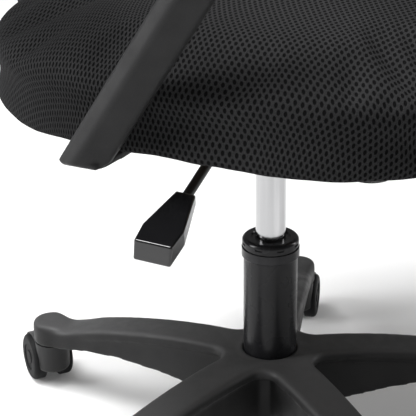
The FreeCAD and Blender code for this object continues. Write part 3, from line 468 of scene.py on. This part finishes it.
def cushion_blank(material):
    """Closed cushion: skirt, undercut side, full shoulder and crowned top."""
    low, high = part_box("seat_cushion")
    board_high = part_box("seat_board")[1]
    half_width = high.x
    outline = rounded_outline(half_width, low.y, high.y, 0.165, 0.140, 0.0075)
    middle = Vector((0, (low.y + high.y) / 2, 0))
    bottom, under = low.z, board_high.z + CLOTH_GAP
    inner = board_high.x - half_width + CLOTH_GAP
    side = cushion_side(bottom, under, inner)
    shoulder_out, shoulder_height = side[-1]
    along = [0.0]
    for (out_a, up_a), (out_b, up_b) in zip(side, side[1:]):
        along.append(along[-1] + math.hypot(out_b - out_a, up_b - up_a))
    mesh = bmesh.new()
    flat = mesh.loops.layers.uv.new("flat")
    rings, spread_of = [], {}
    for (out, height), length in zip(side, along):
        hem = height < bottom + 0.012 and out > inner + 0.004
        ring = []
        for place, way in outline:
            ripple = hem_ripple(place) if hem else 0.0
            vertex = mesh.verts.new(place + way * out + Vector((0, 0, height + ripple)))
            cloth = place + way * (shoulder_out + along[-1] - length)
            spread_of[vertex] = cloth_place(cloth, half_width)
            ring.append(vertex)
        rings.append(ring)
    for number in range(TOP_RINGS):
        scale = 0.95 - 0.05 * number
        height = shoulder_height + CROWN_RISE * (1 - scale ** 2)
        ring = []
        for place, way in outline:
            point = middle + (place + way * shoulder_out - middle) * scale
            vertex = mesh.verts.new(point + Vector((0, 0, height)))
            spread_of[vertex] = cloth_place(point, half_width)
            ring.append(vertex)
        rings.append(ring)
    join_rings(mesh, rings)
    crown = mesh.verts.new(middle + Vector((0, 0, shoulder_height + CROWN_RISE)))
    underside = mesh.verts.new(middle + Vector((0, 0, under)))
    for tip in (crown, underside):
        spread_of[tip] = cloth_place(middle, half_width)
    for number in range(len(outline)):
        after = (number + 1) % len(outline)
        mesh.faces.new((rings[-1][number], rings[-1][after], crown))
        mesh.faces.new((rings[0][after], rings[0][number], underside))
    for face in mesh.faces:
        for loop in face.loops:
            loop[flat].uv = spread_of[loop.vert]
    bmesh.ops.recalc_face_normals(mesh, faces=mesh.faces)
    data = bpy.data.meshes.new("seat_cushion_cover")
    mesh.to_mesh(data)
    mesh.free()
    return new_piece("seat_cushion_cover", data, material)


def inflate(item, pinned_below, free_above, pressure, cap):
    """Cloth over foam: pressure fills the cover, the skirt stays stapled to the board."""
    rest = [vertex.co.copy() for vertex in item.data.vertices]
    pin = item.vertex_groups.new(name="pin")
    for vertex in item.data.vertices:
        hold = 1 - (vertex.co.z - pinned_below) / (free_above - pinned_below)
        pin.add([vertex.index], min(max(hold, 0.0), 1.0), "REPLACE")
    cloth = item.modifiers.new("cloth", "CLOTH")
    cloth.settings.quality = 6
    cloth.settings.mass = 0.3
    cloth.settings.tension_stiffness = 25
    cloth.settings.compression_stiffness = 25
    cloth.settings.bending_stiffness = 2.0
    cloth.settings.use_pressure = True
    cloth.settings.uniform_pressure_force = pressure
    cloth.settings.vertex_group_mass = "pin"
    cloth.settings.effector_weights.gravity = 0
    cloth.point_cache.frame_start = 1
    cloth.point_cache.frame_end = CLOTH_FRAMES
    for number in range(1, CLOTH_FRAMES + 1):
        scene.frame_set(number)
    top_light_amount = evaluated(item)
    item.modifiers.clear()
    for vertex, start in zip(item.data.vertices, rest):
        move = top_light_amount.vertices[vertex.index].co - start
        if move.length > cap:
            move *= cap / move.length
        vertex.co = start + move
    scene.frame_set(1)


def subdivide(item):
    """Split and round the mesh once."""
    smooth = item.modifiers.new("subdivision", "SUBSURF")
    smooth.levels = 1
    mesh = evaluated(item)
    item.modifiers.clear()
    old = item.data
    item.data = mesh
    bpy.data.meshes.remove(old)


def make_cushion(material):
    cushion = cushion_blank(material)
    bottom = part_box("seat_cushion")[0].z
    inflate(cushion, bottom + 0.030, bottom + 0.055, pressure=3.0, cap=0.010)
    subdivide(cushion)
    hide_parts("seat_cushion")
    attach(cushion, "seat")


# --- back panel ----------------------------------------------------------------------------


def make_back_panel(material):
    """One layer of stretched mesh over the front of the back frame."""
    mesh = bmesh.new()
    mesh.from_mesh(frame["nodes"]["back_mesh"].data)
    bmesh.ops.remove_doubles(mesh, verts=mesh.verts, dist=1e-5)
    away = [face for face in mesh.faces if face.normal.y > -0.5]
    bmesh.ops.delete(mesh, geom=away, context="FACES")
    low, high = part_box("back_mesh")
    for axis, start, end in ((Vector((1, 0, 0)), low.x, high.x), (Vector((0, 0, 1)), low.z, high.z)):
        cuts = int((end - start) / 0.014)
        for number in range(1, cuts):
            at = axis * (start + (end - start) * number / cuts)
            geometry = mesh.verts[:] + mesh.edges[:] + mesh.faces[:]
            bmesh.ops.bisect_plane(mesh, geom=geometry, plane_co=at, plane_no=axis, dist=1e-5)
    flat = mesh.loops.layers.uv.new("flat")
    for face in mesh.faces:
        for loop in face.loops:
            place = loop.vert.co
            loop[flat].uv = (place.z, place.x)
    data = bpy.data.meshes.new("back_panel")
    mesh.to_mesh(data)
    area = sum(face.calc_area() for face in mesh.faces)
    mesh.free()
    panel = new_piece("back_panel", data, material)
    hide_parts("back_mesh")
    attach(panel, "seat")


# --- arm pads ------------------------------------------------------------------------------


def make_pads(material):
    for side in ("left", "right"):
        pad = softened(f"arm_pad_{side}_cover", f"arm_pad_{side}", material, 0.0022, 0.6, 12)
        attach(pad, "seat")


# --- materials of the carried-over nodes -----------------------------------------------------


def make_finishes():
    return {
        # The base's upward faces are painted 3.6 times paler: painted top light.
        "nylon_base": moulded_nylon("base_nylon_look", (0.018, 0.018, 0.0183), gloss=0.2,
                                    top_light_gain=3.6),
        "arm_nylon": moulded_nylon("arm_nylon_look", (0.020, 0.020, 0.0205), gloss=0.16),
        "back_nylon": moulded_nylon("back_nylon_look", (0.026, 0.026, 0.028)),
        "wheel_nylon": moulded_nylon("wheel_look", (0.008, 0.008, 0.0085), 0.0012, (0.55, 0.7),
                                     0.00004, 0.12),
        "black_tube": coated_metal("tube_look", (0.005, 0.005, 0.0055), (0.22, 0.32)),
        "cap_plastic": coated_metal("cap_look", (0.008, 0.008, 0.009), (0.16, 0.28), 0.003),
        # The chrome's dark bands down its length are painted reflections of the studio.
        "chrome": bare_metal("chrome_look", (0.66, 0.66, 0.67), (0.10, 0.2), (45, 45, 1.5),
                             0.00002, 0.55),
        "bush_plastic": moulded_nylon("bush_look", (0.62, 0.60, 0.55), 0.0008),
        "bearing_steel": bare_metal("steel_look", (0.52, 0.52, 0.53), (0.2, 0.35)),
        "mech_steel": coated_metal("mechanism_look", (0.012, 0.012, 0.013), (0.35, 0.5), 0.0015,
                                   0.00006),
        "spring_steel": bare_metal("spring_look", (0.26, 0.25, 0.24), (0.3, 0.45)),
        "bolt_steel": coated_metal("bolt_look", (0.02, 0.02, 0.022), (0.3, 0.45), 0.001),
        "lever_steel": coated_metal("lever_rod_look", (0.006, 0.006, 0.0065), (0.3, 0.42)),
        "lever_plastic": moulded_nylon("paddle_look", (0.004, 0.004, 0.0044), 0.0012,
                                       (0.08, 0.14), 0.000008, 0.65),
        "plywood": plywood("board_look"),
        "mesh_fabric": spacer_mesh("seat_mesh_look"),
        "back_fabric": woven_panel("back_mesh_look"),
        "pad_rubber": soft_skin("pad_look", (0.030, 0.030, 0.032)),
    }


def dress(finishes):
    """Give every CAD node the finish of its own material slot."""
    for part in frame["record"]["subparts"]:
        item = frame["nodes"][part["node"]]
        item.data.materials.clear()
        item.data.materials.append(finishes[part["material_slot"]])


def neck_amount(place):
    """1 on the upper side of each base arm just inside its end boss, fading all round."""
    out = math.hypot(place.x, place.y)
    near = smooth_step(0.190, 0.212, out) * (1 - smooth_step(0.232, 0.252, out))
    return near * smooth_step(0.056, 0.064, place.z)


def foot_amount(place):
    """1 where an arm's strut turns in under the seat."""
    return 1 - smooth_step(0.382, 0.405, place.z)


def make_mouldings(finishes):
    """Moulded nylon pieces with blended corners."""
    base = softened("star_base_moulding", "star_base", finishes["nylon_base"], 0.0018, 0.5, 9,
                    neck_amount, 90)
    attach(base, "base")
    for side in ("left", "right"):
        arm = softened(f"arm_{side}_moulding", f"arm_{side}", finishes["arm_nylon"], 0.0016,
                       0.5, 2, foot_amount, 4)
        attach(arm, "seat")


make_camera()
make_studio()
looks = make_finishes()
dress(looks)
make_mouldings(looks)
make_cushion(looks["mesh_fabric"])
make_back_panel(looks["back_fabric"])
make_pads(looks["pad_rubber"])

import json
